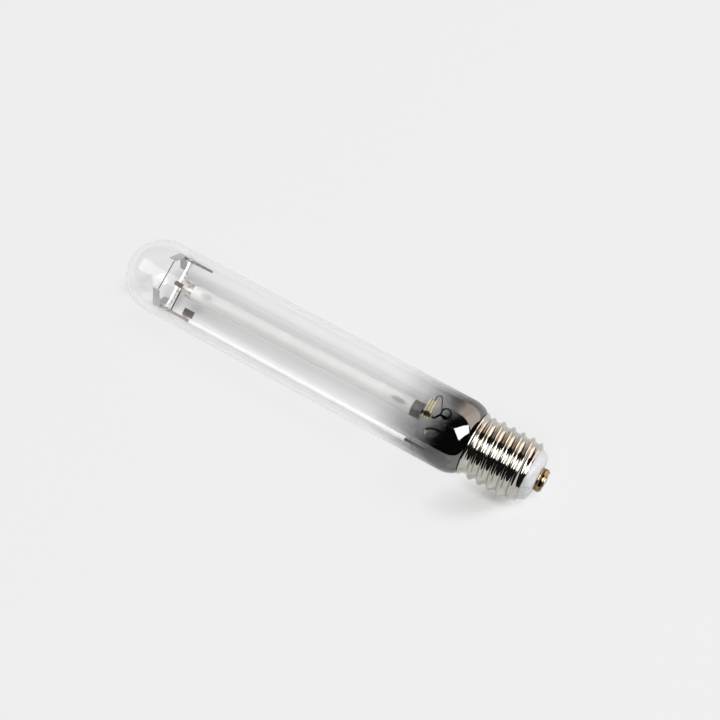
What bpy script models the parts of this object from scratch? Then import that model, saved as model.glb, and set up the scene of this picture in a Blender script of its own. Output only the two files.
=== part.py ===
# High pressure sodium lamp: a clear tubular bulb, a screw cap and a ceramic arc tube on a wire frame.
# It is drawn upright with its cap on top, heights counted from the dome's tip, and then laid on its side.

from math import asin, atan2, cos, hypot, pi, radians, sin, sqrt, tan

import bmesh
import bpy
from mathutils import Vector

for old_object in list(bpy.data.objects):
    bpy.data.objects.remove(old_object, do_unlink=True)

mm = 0.001

# Whole lamp
lamp_length = 285.7 * mm
seat_gap = 0.3 * mm
frame_turn = radians(67.3)

# Outer bulb
bulb_diameter = 46 * mm
glass_wall = 1.1 * mm
bulb_sides = 24
shoulder_length = 11.8 * mm
neck_length = 10 * mm

# Screw cap
shell_height = 36.6 * mm
shell_wall = 0.45 * mm
shell_sides = 32
thread_diameter = 39.3 * mm
thread_pitch = 6.35 * mm
thread_depth = 1.9 * mm
thread_start = 7.4 * mm
thread_run_in = 4.8 * mm
thread_run_out = 1.2 * mm
rings_per_turn = 8
rim_diameter = 39.5 * mm
skirt_length = 3 * mm
cement_thickness = 0.8 * mm
cement_length = 7.5 * mm
cement_to_rim = 1.1 * mm

# Insulator and contact
insulator_rise = 5.7 * mm
insulator_top_diameter = 20.5 * mm
insulator_lip = 1.1 * mm
insulator_flange = 3 * mm
vent_slot_width = 1.0 * mm
vent_slot_length = 4.6 * mm
vent_slot_depth = 0.8 * mm
vent_slot_turn = radians(32)
contact_diameter = 14.6 * mm
contact_height = 4.2 * mm
contact_step = 0.9 * mm
contact_step_height = 0.9 * mm
contact_bevel = 0.3 * mm
solder_diameter = 5.4 * mm
solder_height = 0.5 * mm
solder_sink = 0.1 * mm

# Glass stem
press_top_below_rim = 13.6 * mm
press_width = 15.5 * mm
press_thickness = 4.6 * mm
press_height = 11 * mm
press_rounding = 1.4 * mm
press_sink = 1.4 * mm
stem_tube_diameter = 16 * mm
exhaust_diameter = 5.2 * mm
exhaust_length = 25 * mm
exhaust_sink = 1 * mm

# Lead wires
lead_spread = 5.7 * mm
centre_lead_diameter = 1.2 * mm
side_lead_diameter = 1.6 * mm
outer_lead_diameter = 0.8 * mm
centre_lead_straight = 3.6 * mm
centre_lead_end = 1.6 * mm
centre_lead_bend = 0.8 * mm
side_lead_reach = 13.9 * mm
side_lead_bow = 2.2 * mm
side_lead_drift = 0.9 * mm
side_lead_tip = 3.6 * mm
outer_lead_bend = 1.5 * mm
outer_lead_end = 2 * mm

# Arc tube
arc_to_dome = 39.4 * mm
arc_to_press = 21.3 * mm
arc_diameter = 9.4 * mm
arc_wall = 0.75 * mm
arc_shift_dome = 0.4 * mm
arc_shift_base = 2.1 * mm
plug_depth = 5 * mm
plug_inset = 0.2 * mm
shield_width = 6.3 * mm
shield_wall = 0.15 * mm
shield_gap = 0.2 * mm
shield_overhang = 0.3 * mm
feed_diameter = 2.9 * mm
feed_wall = 0.3 * mm
feed_taper = 0.6 * mm
feed_reach_dome = 8 * mm
feed_reach_base = 6.2 * mm
electrode_diameter = 1.1 * mm
electrode_reach = 19 * mm
coil_diameter = 3 * mm
coil_length = 7.6 * mm
coil_turns = 4
coil_to_tip = 0.8 * mm
shank_gap = 1.5 * mm
amalgam_diameter = 1.6 * mm
amalgam_to_plug = 2 * mm

# Wire frame
rod_to_glass = 5.3 * mm
rod_diameter = 1.7 * mm
rod_bend = 3 * mm
rod_past_spring = 1 * mm
rod_turn_to_press = 6.3 * mm
stub_length = 20.9 * mm
sleeve_diameter = 3.2 * mm
sleeve_from_arc_end = 11.6 * mm
sleeve_short_of_arc = 1.5 * mm

# Springs, straps and small wires
spring_to_arc = 12 * mm
spring_width = 4.7 * mm
strip_thickness = 0.3 * mm
spring_bend = 2.4 * mm
spring_lean = radians(8.5)
main_spring_near = radians(68)
main_spring_far = radians(59)
stub_spring_near = radians(56)
stub_spring_far = radians(62)
tie_wire_diameter = 0.6 * mm
strap_to_arc = 5.6 * mm
strap_width = 2.2 * mm
link_wire_diameter = 0.7 * mm
link_to_arc = 1.6 * mm
flexible_strip_width = 5.4 * mm
flexible_strip_reach = 11.2 * mm
flexible_strip_lap = 2.4 * mm
foil_thickness = 0.2 * mm
loop_wire_diameter = 0.5 * mm
loop_reach = 3.9 * mm
loop_rise = 4.7 * mm
loop_end_rise = 7.1 * mm
stop_wire_diameter = 0.5 * mm
stop_wire_to_arc = 3 * mm
stop_wire_slope = 0.75
stop_wire_inner = 2.6 * mm
stop_wire_outer = 3.6 * mm

# Getters
getter_length = 6.6 * mm
getter_width = 4.5 * mm
getter_thickness = 1.4 * mm
getter_tab = 2.6 * mm
getter_tab_rise = 0.9 * mm
getter_from_arc_end = 5.4 * mm
getter_ring_diameter = 6.8 * mm
getter_ring_section = 1 * mm
getter_trough_wall = 0.25 * mm
getter_ring_to_press = 8.5 * mm
getter_ring_rise = 2.1 * mm

# Radii and heights that follow from the sizes above
# The many-sided bulb is drawn round its true circle, so that it lies on a flat
bulb_radius = bulb_diameter / 2 / cos(pi / bulb_sides)
bulb_flat_inside = (bulb_radius - glass_wall) * cos(pi / bulb_sides)
crest_radius = thread_diameter / 2
root_radius = crest_radius - thread_depth
bore_radius = root_radius - shell_wall
flange_radius = bore_radius * cos(pi / shell_sides) - seat_gap
waist_radius = flange_radius - insulator_lip
neck_radius = flange_radius - cement_thickness - seat_gap

contact_top = lamp_length
solder_foot = contact_top - solder_sink - solder_height
dish_floor = solder_foot - seat_gap
contact_foot = contact_top - contact_height
insulator_top = contact_foot - seat_gap
shell_end = insulator_top - insulator_rise
rim_height = shell_end - shell_height
flange_top = shell_end - shell_wall - seat_gap
neck_end = rim_height + neck_length

press_top = rim_height - press_top_below_rim
press_foot = press_top + press_height
arc_start = arc_to_dome
arc_end = press_top - arc_to_press
spring_height = arc_start - spring_to_arc
rod_start = spring_height + rod_past_spring
rod_turn_height = press_top - rod_turn_to_press

rod_radius = rod_diameter / 2
rod_offset = bulb_diameter / 2 - glass_wall - rod_to_glass
feed_radius = feed_diameter / 2
strap_back = rod_radius + seat_gap + strip_thickness / 2
arc_depth = strap_back - strip_thickness / 2 - seat_gap - feed_radius


# Collections, parents and finishes
lamp_collection = bpy.data.collections.new("high_pressure_sodium_lamp")
cutter_collection = bpy.data.collections.new("cutters")
bpy.context.scene.collection.children.link(lamp_collection)
bpy.context.scene.collection.children.link(cutter_collection)


def add_empty(name, location, turn, parent=None):
    empty = bpy.data.objects.new(name, None)
    empty.location = location
    empty.rotation_euler = turn
    empty.parent = parent
    lamp_collection.objects.link(empty)
    return empty


# The lamp lies along x with its cap at +x, on one flat of its bulb
lying_lamp = add_empty("lying_lamp", (-lamp_length / 2, 0, bulb_diameter / 2), (0, pi / 2, 0))
# The frame is turned about the lamp's axis; its main rod is at +x and its front is at -y
turned_frame = add_empty("turned_frame", (0, 0, 0), (0, 0, -frame_turn), lying_lamp)


def arc_centre(height):
    # The arc tube leans a little to the stub rod's side as it comes to the base
    share = (height - arc_start) / (arc_end - arc_start)
    return -(arc_shift_dome + (arc_shift_base - arc_shift_dome) * share)


def finish(name, colour, roughness, metallic=0.0, transmission=0.0):
    material = bpy.data.materials.new(name)
    material.use_nodes = True
    shader = material.node_tree.nodes["Principled BSDF"]
    shader.inputs["Base Color"].default_value = (*colour, 1)
    shader.inputs["Roughness"].default_value = roughness
    shader.inputs["Metallic"].default_value = metallic
    shader.inputs["Transmission Weight"].default_value = transmission
    material.diffuse_color = (*colour, 1)
    return material


def add_piece(name, data, material, parent=turned_frame, location=(0, 0, 0)):
    piece = bpy.data.objects.new(name, data)
    piece.data.materials.append(material)
    piece.parent = parent
    piece.location = location
    lamp_collection.objects.link(piece)
    return piece


# Ways of making a piece
def turned(name, profile, sides, material, closed=False, parent=turned_frame, location=(0, 0, 0)):
    # Profile points are (radius, height) and run down the outer side; no edge runs along the axis
    edges = [(i, i + 1) for i in range(len(profile) - 1)]
    if closed:
        edges.append((len(profile) - 1, 0))
    edges = [(a, b) for a, b in edges if profile[a][0] > 0 or profile[b][0] > 0]
    mesh = bpy.data.meshes.new(name)
    mesh.from_pydata([(radius, 0, height) for radius, height in profile], edges, [])
    piece = add_piece(name, mesh, material, parent, location)
    turn = piece.modifiers.new("Turn", "SCREW")
    turn.steps = sides
    turn.render_steps = sides
    turn.use_merge_vertices = True
    turn.merge_threshold = 0.00001
    turn.use_smooth_shade = True
    return piece


def tube(name, outer, inner, low, high, sides, material, location=(0, 0, 0)):
    profile = [(outer, high), (outer, low), (inner, low), (inner, high)]
    return turned(name, profile, sides, material, closed=True, location=location)


def wire(name, points, diameter, material, roundness=2):
    curve = bpy.data.curves.new(name, "CURVE")
    curve.dimensions = "3D"
    curve.bevel_depth = diameter / 2
    curve.bevel_resolution = roundness
    curve.use_fill_caps = True
    spline = curve.splines.new("POLY")
    spline.points.add(len(points) - 1)
    for spot, point in zip(spline.points, points):
        spot.co = (*point, 1)
    return add_piece(name, curve, material)


def strip(name, path, width, height, thickness, material):
    # A flat strip that follows a path in plan, its width along the lamp
    curve = bpy.data.curves.new(name, "CURVE")
    curve.dimensions = "2D"
    curve.fill_mode = "NONE"
    curve.extrude = width / 2
    spline = curve.splines.new("POLY")
    spline.points.add(len(path) - 1)
    for spot, (x, y) in zip(spline.points, path):
        spot.co = (x, y, 0, 1)
    piece = add_piece(name, curve, material, location=(0, 0, height))
    skin = piece.modifiers.new("Sheet", "SOLIDIFY")
    skin.thickness = thickness
    skin.offset = 0
    return piece


def bent(corners, radius, arc_steps=4):
    # Straight runs between the corners, with a round bend at each
    path = [Vector(corners[0])]
    for before, corner, after in zip(corners, corners[1:], corners[2:]):
        corner = Vector(corner)
        back = (Vector(before) - corner).normalized()
        on = (Vector(after) - corner).normalized()
        half = back.angle(on) / 2
        centre = corner + (back + on).normalized() * radius / sin(half)
        first = corner + back * radius / tan(half) - centre
        last = corner + on * radius / tan(half) - centre
        for step in range(arc_steps + 1):
            path.append(centre + first.normalized().slerp(last.normalized(), step / arc_steps) * radius)
    path.append(Vector(corners[-1]))
    return path


def arc_points(centre, radius, start, end, steps):
    angles = [start + (end - start) * step / steps for step in range(steps + 1)]
    return [(centre[0] + radius * cos(a), centre[1] + radius * sin(a)) for a in angles]


def cutter(name, mesh_maker, size, location):
    mesh = bpy.data.meshes.new(name)
    shape = bmesh.new()
    mesh_maker(shape)
    bmesh.ops.scale(shape, vec=size, verts=shape.verts)
    shape.to_mesh(mesh)
    shape.free()
    tool = bpy.data.objects.new(name, mesh)
    tool.parent = turned_frame
    tool.location = location
    tool.hide_render = True
    tool.display_type = "WIRE"
    cutter_collection.objects.link(tool)
    return tool


def unit_cube(shape):
    bmesh.ops.create_cube(shape, size=1)


def unit_rod(shape):
    bmesh.ops.create_cone(shape, cap_ends=True, segments=12, radius1=0.5, radius2=0.5, depth=1)


def boolean(piece, tool, operation):
    cut = piece.modifiers.new(tool.name, "BOOLEAN")
    cut.object = tool
    cut.operation = operation
    cut.solver = "EXACT"


# Finishes
clear_glass = finish("clear_glass", (0.93, 0.95, 0.94), 0.02, transmission=1.0)
stem_finish = finish("stem_glass_finish", (0.85, 0.88, 0.87), 0.05, transmission=1.0)
nickel_plate = finish("nickel_plated_brass", (0.66, 0.63, 0.59), 0.15, 1.0)
white_insulator = finish("white_insulator", (0.78, 0.78, 0.79), 0.35)
plain_brass = finish("plain_brass", (0.74, 0.55, 0.27), 0.25, 1.0)
solder_metal = finish("solder", (0.62, 0.62, 0.60), 0.3, 1.0)
cement_finish = finish("cement", (0.55, 0.52, 0.46), 0.85)
lead_metal = finish("nickel_wire", (0.42, 0.40, 0.38), 0.3, 1.0)
copper_wire = finish("copper_wire", (0.80, 0.45, 0.30), 0.3, 1.0)
ceramic_white = finish("translucent_alumina", (0.90, 0.90, 0.88), 0.4, transmission=0.3)
plug_ceramic = finish("alumina_plug", (0.80, 0.79, 0.76), 0.5)
shield_metal = finish("niobium_foil", (0.38, 0.37, 0.37), 0.4, 1.0)
feed_metal = finish("niobium_tube", (0.30, 0.29, 0.29), 0.35, 1.0)
tungsten = finish("tungsten", (0.25, 0.25, 0.26), 0.45, 1.0)
amalgam_metal = finish("sodium_amalgam", (0.60, 0.60, 0.62), 0.15, 1.0)
frame_metal = finish("nickel_plated_steel", (0.50, 0.48, 0.46), 0.25, 1.0)
sleeve_ceramic = finish("steatite_sleeve", (0.88, 0.87, 0.84), 0.5)
spring_metal = finish("spring_steel", (0.45, 0.45, 0.46), 0.3, 1.0)
gilt_strip = finish("gilt_nickel_strip", (0.72, 0.60, 0.30), 0.3, 1.0)
getter_metal = finish("getter_alloy", (0.06, 0.06, 0.06), 0.6, 0.8)
ring_metal = finish("getter_ring_steel", (0.12, 0.12, 0.12), 0.4, 1.0)


# Outer bulb
rim_bore = rim_diameter / 2 - shell_wall
free_radius = rim_bore * cos(pi / shell_sides) - 1.2 * seat_gap
rim_share = (free_radius - neck_radius) / (bulb_radius - neck_radius)
# The shoulder clears the cap's rim, and the neck is straight from where the cement starts
shoulder_start = min(
    rim_height - shoulder_length * sqrt(1 - rim_share ** 2), rim_height + cement_to_rim - shoulder_length)


def glass_radius(height):
    # An elliptical shoulder brings the tube down to the neck, just inside the cap's rim
    share = min(1.0, max(0.0, (height - shoulder_start) / shoulder_length))
    return neck_radius + (bulb_radius - neck_radius) * sqrt(1 - share ** 2)


def bulb_line(inset, dome_steps=9, shoulder_steps=7):
    # One side of the bulb's wall from the neck's open end to the dome's tip
    line = [(neck_radius - inset, neck_end)]
    for step in range(shoulder_steps, 0, -1):
        angle = pi / 2 * step / shoulder_steps
        height = shoulder_start + shoulder_length * sin(angle)
        radius = neck_radius + (bulb_radius - neck_radius) * cos(angle)
        line.append((radius - inset, height))
    line.append((bulb_radius - inset, shoulder_start))
    for step in range(dome_steps + 1):
        angle = pi / 2 * step / dome_steps
        radius = (bulb_radius - inset) * cos(angle)
        line.append((radius, bulb_radius - (bulb_radius - inset) * sin(angle)))
    line[-1] = (0, inset)
    return line


outer_bulb = turned(
    "outer_bulb",
    bulb_line(0) + bulb_line(glass_wall)[::-1],
    bulb_sides, clear_glass, closed=True, parent=lying_lamp)
outer_bulb.rotation_euler.z = pi / bulb_sides


# Cap shell: a turned sleeve whose wall is pushed out into the rolled thread, then given its thickness
def thread_rise(distance):
    # Equal round crests and roots that meet at a quarter of the pitch
    quarter = thread_pitch / 4
    arc = (quarter ** 2 + (thread_depth / 2) ** 2) / thread_depth
    if abs(distance) < quarter:
        return thread_depth - arc + sqrt(arc ** 2 - distance ** 2)
    from_root = thread_pitch / 2 - abs(distance)
    return arc - sqrt(arc ** 2 - from_root ** 2)


def fade(value):
    share = min(1.0, max(0.0, value))
    return share * share * (3 - 2 * share)


def thread_height(angle, height):
    along = height - rim_height - thread_start - thread_pitch * angle / (2 * pi)
    distance = (along + thread_pitch / 2) % thread_pitch - thread_pitch / 2
    run_in = fade((height - rim_height - skirt_length / 2) / thread_run_in)
    run_out = fade((shell_end - shell_wall - height) / thread_run_out)
    return thread_rise(distance) * run_in * run_out


def shell_line():
    lip = [(waist_radius + seat_gap, shell_end), (root_radius - shell_wall / 2, shell_end)]
    ring_step = thread_pitch / rings_per_turn
    thread_top = shell_end - 0.5 * shell_wall
    thread_low = rim_height + skirt_length
    rings = round((thread_top - thread_low) / ring_step)
    fall = (thread_low - thread_top) / rings
    body = [(root_radius, thread_top + fall * ring) for ring in range(rings + 1)]
    flare = rim_diameter / 2 - root_radius
    skirt = [
        (root_radius + flare * fade(1 - share), rim_height + skirt_length * share)
        for share in (0.7, 0.35, 0)]
    return lip + body + skirt


sleeve = turned("sleeve_draft", shell_line(), shell_sides, nickel_plate)
bpy.context.view_layer.update()
sleeve_mesh = bpy.data.meshes.new_from_object(sleeve.evaluated_get(bpy.context.evaluated_depsgraph_get()))
bpy.data.objects.remove(sleeve, do_unlink=True)
sleeve_mesh.name = "cap_shell"
for corner in sleeve_mesh.vertices:
    x, y, height = corner.co
    if rim_height < height < shell_end:
        radius = hypot(x, y)
        angle = Vector((1, 0)).angle_signed(Vector((x, y))) * -1
        stretch = 1 + thread_height(angle % (2 * pi), height) / radius
        corner.co = (x * stretch, y * stretch, height)
sleeve_mesh.materials.clear()
cap_shell = add_piece("cap_shell", sleeve_mesh, nickel_plate)
shell_skin = cap_shell.modifiers.new("Sheet", "SOLIDIFY")
shell_skin.thickness = shell_wall
shell_skin.offset = -1

# Capping cement, between the bulb's neck and the shell
cement_low = rim_height + cement_to_rim
cement_heights = [cement_low + cement_length * share for share in (1, 0.45, 0.2, 0)]


def shell_bore(height):
    share = min(1.0, (height - rim_height) / skirt_length)
    flare = (rim_diameter / 2 - root_radius) * fade(1 - share)
    return flange_radius + 0.6 * flare


cement_profile = [(shell_bore(height), height) for height in cement_heights]
cement_profile += [(glass_radius(height) + seat_gap, height) for height in cement_heights[::-1]]
turned("capping_cement", cement_profile, 28, cement_finish, closed=True)

# Insulator, its round shoulder held by the shell's turned-in lip
lead_hole = outer_lead_diameter / 2 + 2 * seat_gap
cone_spread = waist_radius - insulator_top_diameter / 2
cone_foot = shell_end + shell_wall / 3
insulator_cone = [
    (insulator_top_diameter / 2 + cone_spread * sin(pi / 2 * share),
     cone_foot + (insulator_top - cone_foot) * cos(pi / 2 * share))
    for share in (0, 0.25, 0.5, 0.75, 1)]
insulator_profile = [(lead_hole, insulator_top)] + insulator_cone
insulator_profile += [
    (waist_radius, flange_top), (flange_radius, flange_top),
    (flange_radius, flange_top - insulator_flange), (lead_hole, flange_top - insulator_flange)]
cap_insulator = turned("cap_insulator", insulator_profile, 32, white_insulator, closed=True)

# Vent slot, cut along the shoulder
slot_place = radians(60)
slot_radius = insulator_top_diameter / 2 + cone_spread * sin(slot_place)
slot_spot = (
    slot_radius * sin(vent_slot_turn), -slot_radius * cos(vent_slot_turn),
    shell_end + insulator_rise * cos(slot_place))
slot_size = (vent_slot_width, vent_slot_length, 2 * vent_slot_depth)
slot_slope = atan2(insulator_rise * sin(slot_place), cone_spread * cos(slot_place))
vent_slot = cutter("vent_slot", unit_cube, slot_size, slot_spot)
vent_slot.rotation_euler = (slot_slope, 0, vent_slot_turn)
boolean(cap_insulator, vent_slot, "DIFFERENCE")

# Centre contact and the solder in its dish
contact_radius = contact_diameter / 2
step_radius = contact_radius - contact_step
wire_hole = outer_lead_diameter / 2 + seat_gap
solder_radius = solder_diameter / 2
dish_radius = solder_radius + 2 * seat_gap
contact_shoulder = contact_top - contact_step_height
contact_profile = [
    (wire_hole, dish_floor), (dish_radius, dish_floor), (dish_radius, contact_top),
    (step_radius - contact_bevel, contact_top),
    (step_radius, contact_top - contact_bevel), (step_radius, contact_shoulder),
    (contact_radius - contact_bevel, contact_shoulder), (contact_radius, contact_shoulder - contact_bevel),
    (contact_radius, contact_foot), (wire_hole, contact_foot)]
turned("centre_contact", contact_profile, 28, plain_brass, closed=True)
solder_profile = [
    (solder_radius * sin(pi / 2 * share), solder_foot + solder_height * cos(pi / 2 * share))
    for share in (0, 0.35, 0.7, 1)]
turned("contact_solder", solder_profile + [(0, solder_foot)], 16, solder_metal)

# Glass stem: a flare that closes the neck, the press that seals the leads and the tipped-off exhaust tube
stem_radius = stem_tube_diameter / 2
bowl_foot = press_foot - press_sink
flare_top = neck_end + seat_gap
flare_mouth = neck_radius - glass_wall - 2 * seat_gap
flare_line = [(neck_radius, flare_top)]
for share, height_share in ((1, 1), (0.62, 0.84), (0.3, 0.62), (0.1, 0.38), (0, 0.1)):
    flare_radius = stem_radius + (flare_mouth - stem_radius) * share
    flare_line.append((flare_radius, bowl_foot + (flare_top - bowl_foot) * height_share))
flare_line += [(stem_radius * 0.8, bowl_foot), (0, bowl_foot)]
stem_glass = turned("stem_glass", flare_line, 28, stem_finish)
stem_wall = stem_glass.modifiers.new("Wall", "SOLIDIFY")
stem_wall.thickness = glass_wall
stem_wall.offset = -1

press_size = (press_width, press_thickness, press_height)
press = cutter("stem_press", unit_cube, press_size, (0, 0, press_top + press_height / 2))
press_round = press.modifiers.new("Round", "BEVEL")
press_round.width = press_rounding
press_round.segments = 2
boolean(stem_glass, press, "UNION")
exhaust_low = press_foot - exhaust_sink
exhaust_size = (exhaust_diameter, exhaust_diameter, exhaust_length)
exhaust = cutter("exhaust_tube", unit_rod, exhaust_size, (0, 0, exhaust_low + exhaust_length / 2))
boolean(stem_glass, exhaust, "UNION")
for name, side, diameter in (
        ("centre_lead_hole", -1, centre_lead_diameter), ("side_lead_hole", 1, side_lead_diameter)):
    hole_diameter = diameter + 2 * seat_gap
    hole_size = (hole_diameter, hole_diameter, 2 * press_height)
    hole = cutter(name, unit_rod, hole_size, (side * lead_spread, 0, press_top + press_height / 2))
    boolean(stem_glass, hole, "DIFFERENCE")

# Lead wires: stout inner leads up to the middle of the press, thin outer leads from there to the cap
lead_join = press_top + 0.55 * press_height
feed_end = arc_end + feed_reach_base
centre_lead_radius = centre_lead_diameter / 2
lead_foot = feed_end + seat_gap
centre_lead_path = bent([
    (-lead_spread, 0, lead_join), (-lead_spread, 0, lead_foot + centre_lead_straight),
    (arc_centre(feed_end), 0, lead_foot + centre_lead_end),
    (arc_centre(feed_end), 0, lead_foot)], centre_lead_bend, 3)
wire("centre_inner_lead", centre_lead_path, centre_lead_diameter, lead_metal)


def side_lead_x(height):
    # The side lead bows in towards the lamp's axis between the press and its bent end
    share = (press_top - height) / side_lead_reach
    return lead_spread - side_lead_bow * max(0.0, sin(pi * share)) ** 0.8 - side_lead_drift * share


side_lead_low = press_top - side_lead_reach
side_lead_path = [(lead_spread, 0, lead_join), (lead_spread, 0, press_top)]
for share in (0.15, 0.3, 0.45, 0.6, 0.75, 0.88):
    height = press_top + (side_lead_low - press_top) * share
    side_lead_path.append((side_lead_x(height), 0, height))
tip_x = side_lead_x(side_lead_low)
side_lead_path += [
    (tip_x + 0.07 * side_lead_tip, 0, side_lead_low),
    (tip_x + 0.33 * side_lead_tip, 0, side_lead_low - 0.1 * side_lead_tip),
    (tip_x + side_lead_tip, 0, side_lead_low - 0.06 * side_lead_tip)]
wire("side_inner_lead", side_lead_path, side_lead_diameter, lead_metal)

outer_foot = lead_join + seat_gap
exhaust_end = exhaust_low + exhaust_length
centre_outer_path = bent([
    (-lead_spread, 0, outer_foot), (-lead_spread, 0, exhaust_end),
    (0, 0, flange_top - insulator_flange - outer_lead_end),
    (0, 0, dish_floor - seat_gap)], outer_lead_bend, 3)
wire("centre_outer_lead", centre_outer_path, outer_lead_diameter, copper_wire)
weld_height = rim_height + thread_start + 1.5 * thread_pitch
weld_reach = bore_radius - seat_gap
side_outer_path = bent([
    (lead_spread, 0, outer_foot), (lead_spread, 0, weld_height - outer_lead_end / 2),
    (weld_reach - outer_lead_end, 0, weld_height), (weld_reach, 0, weld_height)], outer_lead_bend, 3)
wire("side_outer_lead", side_outer_path, outer_lead_diameter, copper_wire)

# Arc tube with its plugs, heat shields, feed-through tubes and electrodes, on one leaning axis
arc_lean = asin((arc_shift_dome - arc_shift_base) / (arc_end - arc_start))
arc_axis = add_empty("arc_axis", (-arc_shift_dome, arc_depth, arc_start), (0, arc_lean, 0), turned_frame)
arc_length = arc_end - arc_start
arc_radius = arc_diameter / 2
arc_bore = arc_radius - arc_wall


def on_arc_axis(piece, end):
    # The dome's end is drawn upright from the arc tube's start, the base's end is the same piece turned over
    piece.parent = arc_axis
    if end == "base":
        piece.location.z = arc_length
        piece.rotation_euler.x = pi


arc_tube = tube("arc_tube", arc_radius, arc_bore, 0, arc_length, 28, ceramic_white)
on_arc_axis(arc_tube, "dome")
shield_bore = arc_radius + shield_gap
feed_hole = feed_radius + seat_gap
electrode_radius = electrode_diameter / 2
feed_bore = feed_radius - feed_wall
coil_radius = coil_diameter / 2
coil_pitch = coil_length / coil_turns
coil_low = electrode_reach - coil_length
coil_profile = [(0, electrode_reach), (electrode_radius, electrode_reach)]
for coil_turn in range(coil_turns):
    turn_top = electrode_reach - coil_to_tip - coil_turn * coil_pitch
    coil_profile += [
        (coil_radius * 0.7, turn_top), (coil_radius, turn_top - coil_pitch * 0.3),
        (coil_radius, turn_top - coil_pitch * 0.6), (coil_radius * 0.7, turn_top - coil_pitch * 0.9)]


def electrode_profile(reach):
    shank_foot = feed_wall + shank_gap - reach
    return coil_profile + [
        (electrode_radius, coil_low - coil_radius), (electrode_radius, shank_foot), (0, shank_foot)]


def feed_profile(reach):
    # A tube that is open inside the arc tube and pinched shut outside it
    return [
        (feed_radius, plug_depth), (feed_radius, feed_taper - reach), (feed_radius * 0.7, -reach),
        (0, -reach), (0, feed_wall - reach), (feed_bore, feed_wall + feed_taper - reach), (feed_bore, plug_depth)]


for end, reach in (("dome", feed_reach_dome), ("base", feed_reach_base)):
    plug_radius = arc_bore * cos(pi / 28) - seat_gap
    plug = tube(f"{end}_plug", plug_radius, feed_hole, plug_inset, plug_depth, 20, plug_ceramic)
    shield = tube(
        f"{end}_heat_shield", shield_bore + shield_wall, shield_bore,
        -shield_overhang, shield_width - shield_overhang, 28, shield_metal)
    feed = turned(f"{end}_feed_tube", feed_profile(reach), 14, feed_metal, closed=True)
    electrode = turned(f"{end}_electrode", electrode_profile(reach), 10, tungsten)
    for piece in (plug, shield, feed, electrode):
        on_arc_axis(piece, end)

# Amalgam dose, lying on the tube's lowest inner wall by the base plug
amalgam_radius = amalgam_diameter / 2
amalgam_seat = arc_bore * cos(pi / 28) - amalgam_radius - seat_gap
amalgam_height = arc_length - plug_depth - amalgam_to_plug
amalgam_profile = [(0, amalgam_height + amalgam_radius)]
amalgam_profile += [
    (amalgam_radius * sin(pi * share), amalgam_height + amalgam_radius * cos(pi * share))
    for share in (0.2, 0.4, 0.6, 0.8)]
amalgam_profile.append((0, amalgam_height - amalgam_radius))
amalgam = turned("amalgam_dose", amalgam_profile, 12, amalgam_metal, parent=arc_axis)
amalgam.location = (amalgam_seat * cos(frame_turn), amalgam_seat * sin(frame_turn), 0)

# Wire frame: the long main rod, its ceramic sleeve and the short stub rod
rod_weld_x = side_lead_x(rod_turn_height) + side_lead_diameter / 2 + seat_gap
main_rod_path = bent([
    (rod_offset, 0, rod_start), (rod_offset, 0, rod_turn_height),
    (rod_weld_x, 0, rod_turn_height)], rod_bend, 5)
wire("main_rod", main_rod_path, rod_diameter, frame_metal)
stub_path = [(-rod_offset, 0, rod_start), (-rod_offset, 0, rod_start + stub_length)]
wire("stub_rod", stub_path, rod_diameter, frame_metal)
sleeve_start = arc_start + sleeve_from_arc_end
sleeve_end = arc_end - sleeve_short_of_arc
tube("rod_sleeve", sleeve_diameter / 2, rod_radius + seat_gap, sleeve_start, sleeve_end, 16, sleeve_ceramic,
     location=(rod_offset, 0, 0))

# Leaf springs, bent round the rods' outer side with their tips against the glass
spring_back = rod_offset + rod_radius + seat_gap + strip_thickness / 2
lean_rise = bulb_radius * sin(spring_lean)
dome_drop = max(0.0, bulb_radius - (spring_height - spring_width / 2 - lean_rise))
glass_at_spring = sqrt(bulb_flat_inside ** 2 - dome_drop ** 2)
tip_radius = glass_at_spring - seat_gap - strip_thickness
for name, side, near, far in (
        ("main_spring", 1, main_spring_near, main_spring_far),
        ("stub_spring", -1, stub_spring_near, stub_spring_far)):
    spring_path = bent([
        (side * tip_radius * cos(near), -tip_radius * sin(near), 0), (side * spring_back, 0, 0),
        (side * tip_radius * cos(far), tip_radius * sin(far), 0)], spring_bend, 4)
    spring_plan = [point[:2] for point in spring_path]
    spring = strip(name, spring_plan, spring_width, spring_height, strip_thickness, spring_metal)
    spring.rotation_euler.x = -spring_lean

# Tie wire between the springs' near tips
tie_radius = tip_radius - strip_thickness / 2 - seat_gap - tie_wire_diameter / 2


def tie_point(side, reach):
    x, y = side * tie_radius * cos(reach), -tie_radius * sin(reach)
    return (x, y * cos(spring_lean), spring_height - y * sin(spring_lean) + 0.2 * spring_width)


tie_ends = [tie_point(-1, stub_spring_near), tie_point(1, main_spring_near)]
wire("tie_wire", tie_ends, tie_wire_diameter, lead_metal, 1)

# Cross strap behind the arc tube's end, its ends curled round both rods
strap_points = arc_points((-rod_offset, 0), strap_back, 1.45 * pi, 0.5 * pi, 6)
strap_points += arc_points((rod_offset, 0), strap_back, 0.5 * pi, -0.45 * pi, 6)
strip("cross_strap", strap_points, strap_width, arc_start - strap_to_arc, strip_thickness, spring_metal)

# Link wire, hooked round the feed-through tube at the dome's end and led to the main rod
link_hook = feed_radius + seat_gap + link_wire_diameter / 2
link_height = arc_start - link_to_arc
link_points = arc_points((-arc_shift_dome, arc_depth), link_hook, pi, 1.6 * pi, 5)
link_end = (rod_offset - 0.6 * mm, -(rod_radius + seat_gap + link_wire_diameter / 2))
link_path = [(x, y, link_height) for x, y in link_points + [link_end]]
wire("link_wire", link_path, link_wire_diameter, lead_metal, 1)

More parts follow.
